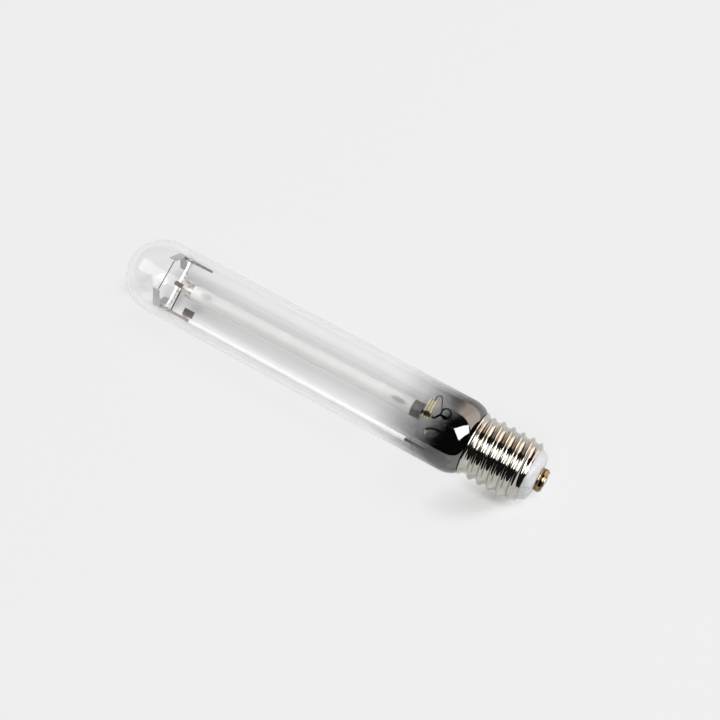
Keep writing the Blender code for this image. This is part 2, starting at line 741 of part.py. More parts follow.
# Flexible strip in front of the feed-through tube at the base, and the wire that loops on to the centre lead
strip_front = arc_depth - feed_radius - seat_gap - strip_thickness / 2
strip_height = feed_end - flexible_strip_width / 2 + 0.1 * mm
feed_x = arc_centre(feed_end)
strip_end = (feed_x - 0.85 * flexible_strip_reach, strip_front + 1 * mm)
flexible_points = [
    (feed_x + flexible_strip_lap, strip_front), (feed_x - feed_radius, strip_front - seat_gap / 3),
    (feed_x - 0.45 * flexible_strip_reach, strip_front - seat_gap / 3),
    (feed_x - 0.75 * flexible_strip_reach, strip_front + 0.5 * mm), strip_end]
strip("flexible_strip", flexible_points, flexible_strip_width, strip_height, foil_thickness, gilt_strip)
loop_radius = loop_wire_diameter / 2
loop_x = strip_end[0] + loop_radius
loop_y = strip_end[1] + foil_thickness + 2 * seat_gap
loop_stop = -lead_spread - centre_lead_radius - seat_gap - loop_radius
loop_shape = [(0, 1, 0), (0.67, 1, 0.06), (0.97, 0, 0.28), (1, 0, 0.51), (0.8, 0, 0.72), (0.05, 0, 1)]
loop_points = [
    (loop_x - loop_reach * out, loop_y * front, strip_height + loop_rise * up)
    for out, front, up in loop_shape]
loop_points.append((loop_stop, 0, strip_height + loop_end_rise))
wire("loop_wire", loop_points, loop_wire_diameter, lead_metal, 1)

# Stop wire across the main rod, which keeps the sleeve from sliding
stop_height = arc_end + stop_wire_to_arc
stop_front = -(rod_radius + seat_gap + stop_wire_diameter / 2)
stop_points = [
    (rod_offset + out, stop_front, stop_height + stop_wire_slope * out)
    for out in (-stop_wire_inner, stop_wire_outer)]
wire("stop_wire", stop_points, stop_wire_diameter, lead_metal, 1)

# Getter plate with its tab on the main rod
plate_right = rod_offset - sleeve_diameter / 2 - seat_gap
plate_left = plate_right - getter_width
plate_low = arc_start + getter_from_arc_end
plate_high = plate_low + getter_length
tab_low = plate_low + getter_tab_rise
tab_end = rod_offset - rod_radius - seat_gap
getter_outline = [
    (plate_left, plate_low), (plate_right, plate_low), (plate_right, tab_low), (tab_end, tab_low),
    (tab_end, tab_low + getter_tab), (plate_right, tab_low + getter_tab), (plate_right, plate_high),
    (plate_left, plate_high)]
getter_curve = bpy.data.curves.new("getter_plate", "CURVE")
getter_curve.dimensions = "2D"
getter_curve.fill_mode = "BOTH"
getter_curve.extrude = getter_thickness / 2
getter_spline = getter_curve.splines.new("POLY")
getter_spline.points.add(len(getter_outline) - 1)
for spot, (x, height) in zip(getter_spline.points, getter_outline):
    spot.co = (x, height, 0, 1)
getter_spline.use_cyclic_u = True
getter_plate = add_piece("getter_plate", getter_curve, getter_metal)
getter_plate.rotation_euler.x = pi / 2

# Getter ring: a small trough behind the centre lead, its open side to the back
ring_outer = getter_ring_diameter / 2
ring_inner = ring_outer - getter_ring_section
trough_inner = ring_inner + getter_trough_wall
trough_outer = ring_outer - getter_trough_wall
ring_profile = [
    (ring_outer, getter_ring_section), (ring_outer, 0), (ring_inner, 0), (ring_inner, getter_ring_section),
    (trough_inner, getter_ring_section), (trough_inner, getter_trough_wall),
    (trough_outer, getter_trough_wall), (trough_outer, getter_ring_section)]
getter_ring = turned("getter_ring", ring_profile, 20, ring_metal, closed=True)
getter_ring.location = (
    -lead_spread - getter_ring_rise, centre_lead_radius + seat_gap, press_top - getter_ring_to_press)
getter_ring.rotation_euler.x = -pi / 2
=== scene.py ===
from math import atan2, cos, pi, radians, sin, sqrt, tan

import bpy
from mathutils import Euler, Matrix, Vector


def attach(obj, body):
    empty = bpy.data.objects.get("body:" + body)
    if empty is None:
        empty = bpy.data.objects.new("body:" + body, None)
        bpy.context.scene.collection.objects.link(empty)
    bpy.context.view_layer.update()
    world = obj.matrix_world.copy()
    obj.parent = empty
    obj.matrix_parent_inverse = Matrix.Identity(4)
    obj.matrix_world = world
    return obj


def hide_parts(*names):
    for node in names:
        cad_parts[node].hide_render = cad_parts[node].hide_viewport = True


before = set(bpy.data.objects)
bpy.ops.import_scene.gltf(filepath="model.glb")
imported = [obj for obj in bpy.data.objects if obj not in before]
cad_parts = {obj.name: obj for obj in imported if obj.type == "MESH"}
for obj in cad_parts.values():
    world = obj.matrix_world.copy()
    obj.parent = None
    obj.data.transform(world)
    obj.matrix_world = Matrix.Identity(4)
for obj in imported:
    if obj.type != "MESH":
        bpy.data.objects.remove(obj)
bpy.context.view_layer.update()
mm = 0.001
gap = 0.3 * mm  # between pieces that stand clear of each other
soft = 0.15 * mm  # eased edge of a turned piece

# Where the lamp lies: its axis is along x, its cap at +x, and its wire frame is turned about that axis
lamp = {
    "length": 285.7 * mm,
    "axisHeight": 23 * mm,
    "frameTurn": radians(67.3),
}
middle = lamp["length"] / 2
lampAxis = Vector((0, 0, lamp["axisHeight"]))


def place(x, y, height):
    # From the upright lamp, with heights from the dome's tip, to the lamp as it lies
    turn = -lamp["frameTurn"]
    low = x * cos(turn) - y * sin(turn)
    side = x * sin(turn) + y * cos(turn)
    return Vector((height - middle, side, lamp["axisHeight"] - low))


def pieceAngle(point):
    # Angle about the lamp's axis, from the main rod's side
    return (atan2(point.y, lamp["axisHeight"] - point.z) + lamp["frameTurn"]) % (2 * pi)


# Small helpers: colours and material nodes
def shade(code):
    parts = [int(code[i:i + 2], 16) / 255 for i in (1, 3, 5)]
    return (*[p / 12.92 if p <= 0.04045 else ((p + 0.055) / 1.055) ** 2.4 for p in parts], 1.0)


def addNode(tree, kind, inputs=None, **settings):
    node = tree.nodes.new(kind)
    for key, value in settings.items():
        setattr(node, key, value)
    for socket, value in (inputs or {}).items():
        if isinstance(value, bpy.types.NodeSocket):
            tree.links.new(value, node.inputs[socket])
        else:
            node.inputs[socket].default_value = value
    return node


def newMaterial(name, **values):
    material = bpy.data.materials.new(name)
    material.use_nodes = True
    shader = material.node_tree.nodes["Principled BSDF"]
    for socket, value in values.items():
        shader.inputs[socket.replace("_", " ")].default_value = value
    return material, material.node_tree, shader


def showShader(tree, surface):
    tree.links.new(surface.outputs[0], tree.nodes["Material Output"].inputs["Surface"])


def calculate(tree, operation, first, second=0.0):
    return addNode(tree, "ShaderNodeMath", {0: first, 1: second}, operation=operation).outputs[0]


def spread(tree, value, low, high, toLow, toHigh):
    inputs = {"Value": value, "From Min": low, "From Max": high, "To Min": toLow, "To Max": toHigh}
    return addNode(tree, "ShaderNodeMapRange", inputs).outputs[0]


def objectPoint(tree, scale=(1, 1, 1)):
    coordinates = addNode(tree, "ShaderNodeTexCoord")
    return addNode(tree, "ShaderNodeMapping", {"Vector": coordinates.outputs["Object"], "Scale": scale}).outputs[0]


def objectAxis(tree, axis):
    return addNode(tree, "ShaderNodeSeparateXYZ", {"Vector": objectPoint(tree)}).outputs[axis]


def softSpot(tree, centreMm, sizeMm, turn=0.0):
    # 1 at its centre, and 0 from the size's distance on
    coordinates = addNode(tree, "ShaderNodeTexCoord")
    point = addNode(tree, "ShaderNodeMapping", {
        "Vector": coordinates.outputs["Object"], "Location": [part * mm for part in centreMm],
        "Rotation": (0, 0, turn), "Scale": [part * mm for part in sizeMm]}, vector_type="TEXTURE")
    spot = addNode(tree, "ShaderNodeTexGradient", {"Vector": point.outputs[0]}, gradient_type="SPHERICAL")
    return spot.outputs["Fac"]


def blendColours(tree, factor, low, high):
    ramp = addNode(tree, "ShaderNodeValToRGB", {"Fac": factor})
    ramp.color_ramp.elements[0].color = shade(low)
    ramp.color_ramp.elements[1].color = shade(high)
    return ramp.outputs[0]


def mixColours(tree, factor, first, second):
    return addNode(tree, "ShaderNodeMixRGB", {"Fac": factor, "Color1": first, "Color2": second}).outputs[0]


def grain(tree, sizeMm, detail=3.0, stretch=(1, 1, 1)):
    # Noise whose patches are about sizeMm across
    inputs = {"Vector": objectPoint(tree, stretch), "Scale": 1 / (sizeMm * mm), "Detail": detail}
    return addNode(tree, "ShaderNodeTexNoise", inputs).outputs["Fac"]


def addBump(tree, shader, height, depthMm):
    bump = addNode(tree, "ShaderNodeBump", {"Height": height, "Distance": depthMm * mm})
    tree.links.new(bump.outputs[0], shader.inputs["Normal"])


def speckled(name, lowColour, highColour, sizeMm, roughness, roughSpread, bumpMm=0.0, stretch=(1, 1, 1), **values):
    # One finish with its colour, gloss and surface varied by the same grain
    material, tree, shader = newMaterial(name, **values)
    noise = grain(tree, sizeMm, stretch=stretch)
    colours = blendColours(tree, spread(tree, noise, 0.35, 0.65, 0, 1), lowColour, highColour)
    gloss = spread(tree, noise, 0.3, 0.7, roughness - roughSpread, roughness + roughSpread)
    tree.links.new(colours, shader.inputs["Base Color"])
    tree.links.new(gloss, shader.inputs["Roughness"])
    if bumpMm:
        addBump(tree, shader, noise, bumpMm)
    return material


def twoTone(name, here, there, axis, startMm, endMm, sizeMm, bumpMm, stretch=(1, 1, 1), **values):
    # A finish that goes from one pair of colours to another between two places along an axis
    material, tree, shader = newMaterial(name, **values)
    noise = grain(tree, sizeMm, stretch=stretch)
    tones = [blendColours(tree, noise, low, high) for low, high in (here, there)]
    change = spread(tree, objectAxis(tree, axis), startMm * mm, endMm * mm, 0, 1)
    tree.links.new(mixColours(tree, change, *tones), shader.inputs["Base Color"])
    addBump(tree, shader, noise, bumpMm)
    return material


# Finishes
drawnAlong = (0.2, 1, 1)

# Drawn hard glass: clear, with a faint grey edge where the wall is seen end on
clearGlass, tree, shader = newMaterial(
    "hardGlass", Base_Color=shade("#FEFEFE"), Roughness=0.0, IOR=1.33, Transmission_Weight=1.0)

# Pressed lead glass of the stem, greyer and wavier, with the light of the lamps let through to what is behind it
stemGlass, tree, shader = newMaterial(
    "pressedGlass", Base_Color=shade("#DDE2E0"), Roughness=0.05, IOR=1.55, Transmission_Weight=1.0)
addBump(tree, shader, grain(tree, 3), 0.15)
path = addNode(tree, "ShaderNodeLightPath")
lit = calculate(tree, "MAXIMUM", path.outputs["Is Shadow Ray"], path.outputs["Is Diffuse Ray"])
clear = addNode(tree, "ShaderNodeBsdfTransparent", {"Color": shade("#D8DCDA")})
showShader(tree, addNode(tree, "ShaderNodeMixShader", {0: lit, 1: shader.outputs[0], 2: clear.outputs[0]}))

# Evaporated barium in the neck: a black mirror that thins out towards the dome.
# It was flashed from low down, so it ends sooner along the top and the far side, but not at the far side's very edge.
# It is thinner on the near side too, where the rod shows through.
filmEdge = {
    "clear": 25 * mm,
    "full": 78 * mm,
    "power": 2.0,
    "patchMm": 14,
    "patchShift": 2 * mm,
    "shiftsMm": [("Z", 0, 46, 6, -6), ("Y", -5, 10, 0, -11), ("Y", 19, 23, 0, 12), ("Y", -20, -16, -12, 0)],
}
getterMirror, tree, shader = newMaterial("bariumMirror", Base_Color=shade("#707270"), Metallic=1.0, Roughness=0.03)
patches = spread(tree, grain(tree, filmEdge["patchMm"], 1), 0.3, 0.7, -filmEdge["patchShift"], filmEdge["patchShift"])
edge = calculate(tree, "ADD", objectAxis(tree, "X"), patches)
for axis, *ends in filmEdge["shiftsMm"]:
    edge = calculate(tree, "ADD", edge, spread(tree, objectAxis(tree, axis), *[end * mm for end in ends]))
cover = calculate(tree, "POWER", spread(tree, edge, filmEdge["clear"], filmEdge["full"], 0, 1), filmEdge["power"])
# The film has an outer and an inner skin, so each lets the square root of the light through
through = calculate(tree, "POWER", calculate(tree, "SUBTRACT", 1.0, cover), 0.5)
tree.links.new(calculate(tree, "SUBTRACT", 1.0, through), shader.inputs["Alpha"])

# Rolled brass sheet with bright nickel plate: mirror-like, slightly wavy and faintly scuffed
nickelPlate = speckled("nickelPlatedBrass", "#B6B3AA", "#C6C3BB", 6, 0.09, 0.04, 0.02, Metallic=1.0)
# Moulded white glass of the insulator, satin with a soft mottle
insulatorGlass = speckled("whiteVitrite", "#C9CACC", "#D6D6D9", 5, 0.32, 0.08, 0.05)
# Turned brass, tarnished in patches
contactBrass = speckled("turnedBrass", "#75664A", "#A08E69", 1.6, 0.12, 0.05, 0.01, Metallic=1.0)
# Solder, dull grey with a grainy skin
solderTin = speckled("leadFreeSolder", "#8E8E8C", "#B9B9B6", 0.8, 0.3, 0.12, 0.05, Metallic=1.0)
# Baked cement, chalky and brownish
cement = speckled("cappingCement", "#8C8778", "#A39D8C", 0.6, 0.85, 0.1, 0.1)

# Sintered alumina: milky and satin, with a painted shade on its top over each electrode, for the electrode seen dimly
# through the wall
alumina, tree, shader = newMaterial("sinteredAlumina", IOR=1.3)
noise = grain(tree, 9)
milky = blendColours(tree, spread(tree, noise, 0.35, 0.65, 0, 1), "#EAEAE8", "#EEEEED")
# Painted shade: a soft dark spot on the tube's top over each electrode
paintedElectrodeShades = [((46.3, -0.2, 28.7), (6.3, 1.8, 3), 0.6), ((-87.5, -0.4, 28.4), (5, 2.4, 3), 0.4)]  # (place, size, dimness)
for centreMm, sizeMm, dimness in paintedElectrodeShades:
    paintedShade = spread(tree, softSpot(tree, centreMm, sizeMm), 0, 0.5, 0, dimness)
    milky = mixColours(tree, paintedShade, milky, shade("#8A8984"))
tree.links.new(milky, shader.inputs["Base Color"])
tree.links.new(spread(tree, noise, 0.3, 0.7, 0.22, 0.28), shader.inputs["Roughness"])
# Pressed alumina of the plugs: matt and a little yellow
plugAlumina = speckled("pressedAlumina", "#D2CFC6", "#DEDBD3", 1, 0.6, 0.1, 0.02)

# Rolled niobium of the shield at the base: dull grey with a faint lilac and green cast
shieldFoil = speckled("niobiumFoil", "#787579", "#959692", 1.4, 0.55, 0.1, 0.02, Metallic=0.9)
# The same foil at the dome's end, painted lighter: a painted reflection of the white surroundings it faces
paintedLitFoil = speckled("niobiumFoilPaintedLit", "#C9C2B8", "#E9E6E0", 3, 0.3, 0.1, 0.02, Metallic=0.5)
# Drawn niobium of the feed-through tubes: dark brown and streaked
feedNiobium = speckled("drawnNiobium", "#352C28", "#5A4C44", 1.0, 0.3, 0.1, 0.01, drawnAlong, Metallic=1.0)
# Tungsten under its emitter coat: dark and dull
tungsten = speckled("coatedTungsten", "#4A4845", "#6A6865", 0.5, 0.5, 0.1, 0.02, Metallic=0.8)
# Sodium amalgam: a silvery bead
amalgamMetal = speckled("sodiumAmalgam", "#A9A9AC", "#C4C4C8", 0.6, 0.15, 0.05, Metallic=1.0)

# Nickel-plated steel rod: bright at the dome, and painted dark towards the base, painted shade for the dark room its
# bright plating reflects in the neck
frameSteelPaintedDark = twoTone("nickelPlatedSteelPaintedDark", ("#A5A29E", "#D2CFCA"), ("#2A2826", "#4A4643"), "X", 20, 55, 2, 0.01,
                     (0.15, 1, 1), Metallic=0.9, Roughness=0.15)
# Drawn nickel, painted as dark as the rod: painted shade for the dark room its bright metal reflects
leadNickelPaintedDark = speckled("drawnNickelPaintedDark", "#2E2C2A", "#4D4A47", 1.2, 0.16, 0.05, 0.01, drawnAlong, Metallic=1.0)
# The side lead's hook: painted as dark as the other leads, with a painted highlight along its end
hookNickelPaintedHighlight = twoTone("nickelWithPaintedHighlight", ("#2E2C2A", "#4D4A47"), ("#FBF3CF", "#FBF3CF"), "Y", -5.6, -6.0, 1.2, 0.01,
                     drawnAlong, Metallic=0.3, Roughness=0.2)
# Copper wire, heated to a dark plum
loopMetal = speckled("stainedCopperWire", "#12080C", "#331C25", 0.8, 0.3, 0.08, 0.01, Metallic=0.2)
# Drawn copper of the outer leads: salmon and bright
copperLead = speckled("drawnCopper", "#B27049", "#C98A63", 1, 0.3, 0.1, 0.01, Metallic=1.0)
# Fired steatite of the sleeve: white and matt
sleeveSteatite = speckled("firedSteatite", "#FAF9F7", "#FFFFFE", 2, 0.5, 0.08, 0.02)
# Rolled spring strip, brushed along its length
springSteel = speckled("rolledSpringSteel", "#A4A4A5", "#DADADB", 0.25, 0.3, 0.08, 0.01, (4, 0.4, 0.4), Metallic=0.55)
# Bright nickel strip: nearly white where it faces the light
strapNickel = speckled("brightNickelStrip", "#DCDAD4", "#F1F0EC", 0.8, 0.28, 0.08, 0.01, Metallic=0.6)

# Fine gilt wires side by side with light between them, burnt dark where they are welded to the feed-through tube
giltFoil, tree, shader = newMaterial("giltWireGauze", Metallic=0.35, Roughness=0.4)
waves = {"Vector": objectPoint(tree), "Scale": 1 / (5.6 * mm), "Distortion": 1.5, "Detail": 2.0, "Detail Scale": 2.0}
strands = addNode(tree, "ShaderNodeTexWave", waves, bands_direction="X").outputs["Fac"]
burn = calculate(tree, "MULTIPLY", softSpot(tree, (64.6, 1.4, 26.2), (3.4, 2.4, 6)), grain(tree, 1.1, 1))
gilt = blendColours(tree, strands, "#D6C589", "#FBF6DC")
burnt = mixColours(tree, spread(tree, burn, 0.1, 0.2, 0, 1), gilt, shade("#2E2712"))
tree.links.new(burnt, shader.inputs["Base Color"])
tree.links.new(spread(tree, strands, 0.1, 0.7, 0.35, 0.8), shader.inputs["Alpha"])
addBump(tree, shader, strands, 0.05)

# Sintered getter metal, nearly black and rough, its welded tab heat-tinted brown
getterAlloy = twoTone("sinteredGetter", ("#484544", "#6D6967"), ("#8A7468", "#B39B8C"), "Y", -13.2, -13.6, 0.4, 0.04,
                      Roughness=0.6, Metallic=0.4)
# Fired steel of the getter ring: black
getterSteel = speckled("firedSteelTrough", "#1F1E1E", "#353333", 0.5, 0.4, 0.1, 0.02, Metallic=0.8)
print("finishes made")


# Modelling helpers
def deselectAll():
    if bpy.context.object and bpy.context.object.mode != "OBJECT":
        bpy.ops.object.mode_set(mode="OBJECT")
    bpy.ops.object.select_all(action="DESELECT")


def startChain(name, points):
    # One corner point drawn out into a line through the points, in edit mode
    deselectAll()
    bpy.ops.mesh.primitive_plane_add(size=mm)
    chain = bpy.context.object
    chain.name = name
    bpy.ops.object.mode_set(mode="EDIT")
    bpy.ops.mesh.select_all(action="SELECT")
    bpy.ops.mesh.merge(type="CENTER")
    bpy.ops.transform.translate(value=Vector(points[0]))
    for here, there in zip(points, points[1:]):
        bpy.ops.mesh.extrude_region_move(TRANSFORM_OT_translate={"value": Vector(there) - Vector(here)})
    bpy.ops.mesh.select_all(action="SELECT")
    return chain


def applyModifier(piece, kind, **settings):
    bpy.context.view_layer.objects.active = piece
    modifier = piece.modifiers.new(kind.title(), kind)
    for key, value in settings.items():
        setattr(modifier, key, value)
    bpy.ops.object.modifier_apply(modifier=modifier.name)


def finishPiece(piece, material, nodes=(), smoothAngle=35):
    deselectAll()
    piece.select_set(True)
    bpy.context.view_layer.objects.active = piece
    bpy.ops.object.shade_smooth_by_angle(angle=radians(smoothAngle))
    piece.data.materials.clear()
    piece.data.materials.append(material)
    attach(piece, "root")
    if nodes:
        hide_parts(*nodes)
    return piece


def turnedPiece(name, profile, steps, material, nodes=(), foot=lampAxis, direction=Vector((1, 0, 0)), closed=False):
    # The profile is (distance along the direction, radius)
    direction = direction.normalized()
    outward = direction.orthogonal().normalized()
    points = [foot + direction * along + outward * radius for along, radius in profile]
    piece = startChain(name, points + points[:1] if closed else points)
    bpy.ops.mesh.remove_doubles(threshold=0.000001)
    bpy.ops.mesh.select_all(action="SELECT")
    bpy.ops.mesh.spin(steps=steps, angle=2 * pi, center=foot, axis=direction)
    bpy.ops.mesh.select_all(action="SELECT")
    bpy.ops.mesh.remove_doubles(threshold=0.000002)
    bpy.ops.mesh.normals_make_consistent(inside=False)
    return finishPiece(piece, material, nodes)


def wirePiece(name, path, diameter, material, nodes):
    # A line given a round section and flat ends
    startChain(name, path)
    bpy.ops.object.mode_set(mode="OBJECT")
    bpy.ops.object.convert(target="CURVE")
    piece = bpy.context.object
    piece.data.bevel_depth = diameter / 2
    piece.data.bevel_resolution = 3
    piece.data.use_fill_caps = True
    bpy.ops.object.convert(target="MESH")
    piece = bpy.context.object
    piece.name = name
    return finishPiece(piece, material, nodes, 50)


def stripPiece(name, path, sweep, thickness, material, nodes):
    # A line drawn sideways by the sweep into a sheet, then given its thickness and eased edges
    piece = startChain(name, path)
    bpy.ops.mesh.extrude_region_move(TRANSFORM_OT_translate={"value": Vector(sweep)})
    bpy.ops.object.mode_set(mode="OBJECT")
    applyModifier(piece, "SOLIDIFY", thickness=thickness, offset=0)
    applyModifier(piece, "BEVEL", width=0.3 * thickness, segments=2)
    return finishPiece(piece, material, nodes)


def bent(corners, radius, arcSteps=8):
    # A line through the corners, each rounded to the radius
    path = [Vector(corners[0])]
    for before, corner, after in zip(corners, corners[1:], corners[2:]):
        corner = Vector(corner)
        back = (Vector(before) - corner).normalized()
        on = (Vector(after) - corner).normalized()
        half = back.angle(on) / 2
        centre = corner + (back + on).normalized() * radius / sin(half)
        first = (corner + back * radius / tan(half) - centre).normalized()
        last = (corner + on * radius / tan(half) - centre).normalized()
        path += [centre + first.slerp(last, step / arcSteps) * radius for step in range(arcSteps + 1)]
    path.append(Vector(corners[-1]))
    return path


def smoothLine(points, perSpan):
    # A smooth curve through the points
    points = [Vector(point) for point in points]
    ends = [2 * points[0] - points[1]] + points + [2 * points[-1] - points[-2]]
    line = []
    for a, b, c, d in zip(ends, ends[1:], ends[2:], ends[3:]):
        for step in range(perSpan):
            t = step / perSpan
            square = (2 * a - 5 * b + 4 * c - d) * t ** 2
            cube = (3 * b - a - 3 * c + d) * t ** 3
            line.append(0.5 * (2 * b + (c - a) * t + square + cube))
    line.append(points[-1])
    return line


def arcPoints(centre, radius, start, end, steps=14):
    turns = [start + (end - start) * i / steps for i in range(steps + 1)]
    return [(centre[0] + radius * cos(turn), centre[1] + radius * sin(turn)) for turn in turns]


def quarterTurns(steps):
    return [pi / 2 * i / steps for i in range(steps + 1)]


def fromMiddle(line):
    # Heights from the dome's tip turned into distances from the lamp's middle
    return [(height - middle, radius) for height, radius in line]


# Outer bulb, from its dome to the neck inside the cap
bulb = {
    "radius": 23 * mm,
    "wall": 1.1 * mm,
    "shoulderStart": 228.14 * mm,
    "shoulderLength": 11.8 * mm,
    "neckRadius": 15.82 * mm,
    "neckEnd": 248.9 * mm,
    "steps": 192,
    "domeSteps": 24,
    "tubeSteps": 6,
    "shoulderSteps": 16,
}
# The mirror film lies in the wall, so that the glass is dark up to its edges
film = {"start": 164 * mm, "depth": 0.45 * mm, "thickness": 0.1 * mm}


def bulbLine(inset, start=None):
    # Points from the dome's tip, or from a height on the tube, to the neck's open end
    radius = bulb["radius"] - inset
    line = [(start, radius)]
    if start is None:
        line = [(bulb["radius"] - radius * cos(turn), radius * sin(turn)) for turn in quarterTurns(bulb["domeSteps"])]
        start = bulb["radius"]
    reach = bulb["shoulderStart"] - start
    line += [(start + reach * i / bulb["tubeSteps"], radius) for i in range(1, bulb["tubeSteps"])]
    fall = bulb["radius"] - bulb["neckRadius"]
    for turn in quarterTurns(bulb["shoulderSteps"]):
        height = bulb["shoulderStart"] + bulb["shoulderLength"] * sin(turn)
        line.append((height, bulb["neckRadius"] + fall * cos(turn) - inset))
    line.append((bulb["neckEnd"], bulb["neckRadius"] - inset))
    return fromMiddle(line)


wallLine = bulbLine(0) + bulbLine(bulb["wall"])[::-1]
filmLine = bulbLine(film["depth"], film["start"]) + bulbLine(film["depth"] + film["thickness"], film["start"])[::-1]
glassBulb = turnedPiece("glassBulb", wallLine, bulb["steps"], clearGlass, ["outer_bulb"])
getterFilm = turnedPiece("getterFilm", filmLine, bulb["steps"], getterMirror, closed=True)
# Light goes through both to what is behind them
for piece in (glassBulb, getterFilm):
    piece.visible_shadow = False
    piece.visible_diffuse = False
print("bulb made")

# Cap shell: a sleeve of close rings, its wall pushed out into the rolled thread
cap = {
    "rim": 238.9 * mm,
    "end": 275.5 * mm,
    "wall": 0.45 * mm,
    "crestRadius": 19.65 * mm,
    "rimRadius": 19.75 * mm,
    "threadDepth": 1.95 * mm,
    "pitch": 6.35 * mm,
    "crestShare": 0.37,
    "threadStart": 7.4 * mm,
    "runIn": 4.8 * mm,
    "runOut": 1.2 * mm,
    "skirt": 3 * mm,
    "steps": 160,
    "ringsPerTurn": 22,
    "waist": 16.12 * mm,
    "endEase": 0.2 * mm,
    "lip": [(0.12 * mm, 0.3 * mm), (0, 0.08 * mm)],  # (above the rim, inside its radius)
}


def fade(value):
    share = min(1.0, max(0.0, value))
    return share * share * (3 - 2 * share)


def threadRise(angle, height):
    # How far the wall is pushed out: round crests and wider round roots, run in and out at the ends
    along = (height - cap["rim"] - cap["threadStart"]) / cap["pitch"] - angle / (2 * pi)
    away = abs(along - round(along)) * cap["pitch"]
    half, depth = cap["pitch"] / 2, cap["threadDepth"]
    crestPart = cap["crestShare"] * half
    onCrest = away < crestPart
    reach = crestPart if onCrest else half - crestPart
    rise = depth * reach / half
    arcRadius = (reach ** 2 + rise ** 2) / (2 * rise)
    fall = arcRadius - sqrt(arcRadius ** 2 - (away if onCrest else half - away) ** 2)
    crest = 1 - fall / depth if onCrest else fall / depth
    runIn = fade((height - cap["rim"] - cap["skirt"] / 2) / cap["runIn"])
    runOut = fade((cap["end"] - cap["wall"] - height) / cap["runOut"])
    return depth * crest * runIn * runOut


rootRadius = cap["crestRadius"] - cap["threadDepth"]
sleeveHeight = cap["end"] - cap["endEase"] - cap["rim"]
ringCount = round(sleeveHeight * cap["ringsPerTurn"] / cap["pitch"])
capLine = [(cap["rim"] + above, cap["rimRadius"] - inside) for above, inside in cap["lip"]]
for ring in range(ringCount + 1):
    height = cap["rim"] + sleeveHeight * ring / ringCount
    flare = (cap["rimRadius"] - rootRadius) * fade(1 - (height - cap["rim"]) / cap["skirt"])
    capLine.append((height, rootRadius + flare))
capLine += [(cap["end"], rootRadius - cap["endEase"]), (cap["end"], cap["waist"])]
capShell = turnedPiece("screwShell", fromMiddle(capLine), cap["steps"], nickelPlate, ["cap_shell"])
for corner in capShell.data.vertices:
    height = corner.co.x + middle
    across = Vector((0, corner.co.y, corner.co.z - lamp["axisHeight"]))
    if cap["rim"] < height < cap["end"] - cap["endEase"] / 2:
        corner.co += across.normalized() * threadRise(pieceAngle(corner.co), height)
applyModifier(capShell, "SOLIDIFY", thickness=cap["wall"], offset=-1)
print("cap shell made")

# Insulator with its vent slot
insulator = {
    "top": 281.2 * mm,
    "topRadius": 10.25 * mm,
    "waist": 15.82 * mm,
    "footGap": 0.15 * mm,
    "flange": 16.9 * mm,
    "flangeDepth": 3 * mm,
    "hole": 1 * mm,
    "steps": 16,
    "slotTurn": radians(32),
    "slotPlace": radians(60),
    "slotSize": (1 * mm, 4.6 * mm, 1.6 * mm),
    "slotEase": 0.4 * mm,
}
coneFoot = cap["end"] + insulator["footGap"]
coneHeight = insulator["top"] - coneFoot
coneSpread = insulator["waist"] - insulator["topRadius"]
flangeTop = cap["end"] - cap["wall"] - gap
flangeFoot = flangeTop - insulator["flangeDepth"]
insulatorLine = [(insulator["top"], insulator["hole"])]
insulatorLine += [(coneFoot + coneHeight * cos(turn), insulator["topRadius"] + coneSpread * sin(turn))
                  for turn in quarterTurns(insulator["steps"])]
insulatorLine += [(flangeTop, insulator["waist"]), (flangeTop, insulator["flange"]),
                  (flangeFoot, insulator["flange"]), (flangeFoot, insulator["hole"])]
insulatorPiece = turnedPiece(
    "capInsulator", fromMiddle(insulatorLine), 96, insulatorGlass, ["cap_insulator"], closed=True)
slotTurn, slotPlace = insulator["slotTurn"], insulator["slotPlace"]
slotRise = insulator["top"] - cap["end"]
slotRadius = insulator["topRadius"] + coneSpread * sin(slotPlace)
slotSlope = atan2(slotRise * sin(slotPlace), coneSpread * cos(slotPlace))
upright = Matrix([place(*axis) - place(0, 0, 0) for axis in ((1, 0, 0), (0, 1, 0), (0, 0, 1))]).transposed()
deselectAll()
bpy.ops.mesh.primitive_cube_add(size=1)
slotCutter = bpy.context.object
slotCutter.scale = insulator["slotSize"]
bpy.ops.object.transform_apply(scale=True)
slotCutter.location = place(
    slotRadius * sin(slotTurn), -slotRadius * cos(slotTurn), cap["end"] + slotRise * cos(slotPlace))
slotCutter.rotation_euler = (upright @ Euler((slotSlope, 0, slotTurn)).to_matrix()).to_euler()
applyModifier(slotCutter, "BEVEL", width=insulator["slotEase"], segments=3)
applyModifier(insulatorPiece, "BOOLEAN", object=slotCutter)
bpy.data.objects.remove(slotCutter)

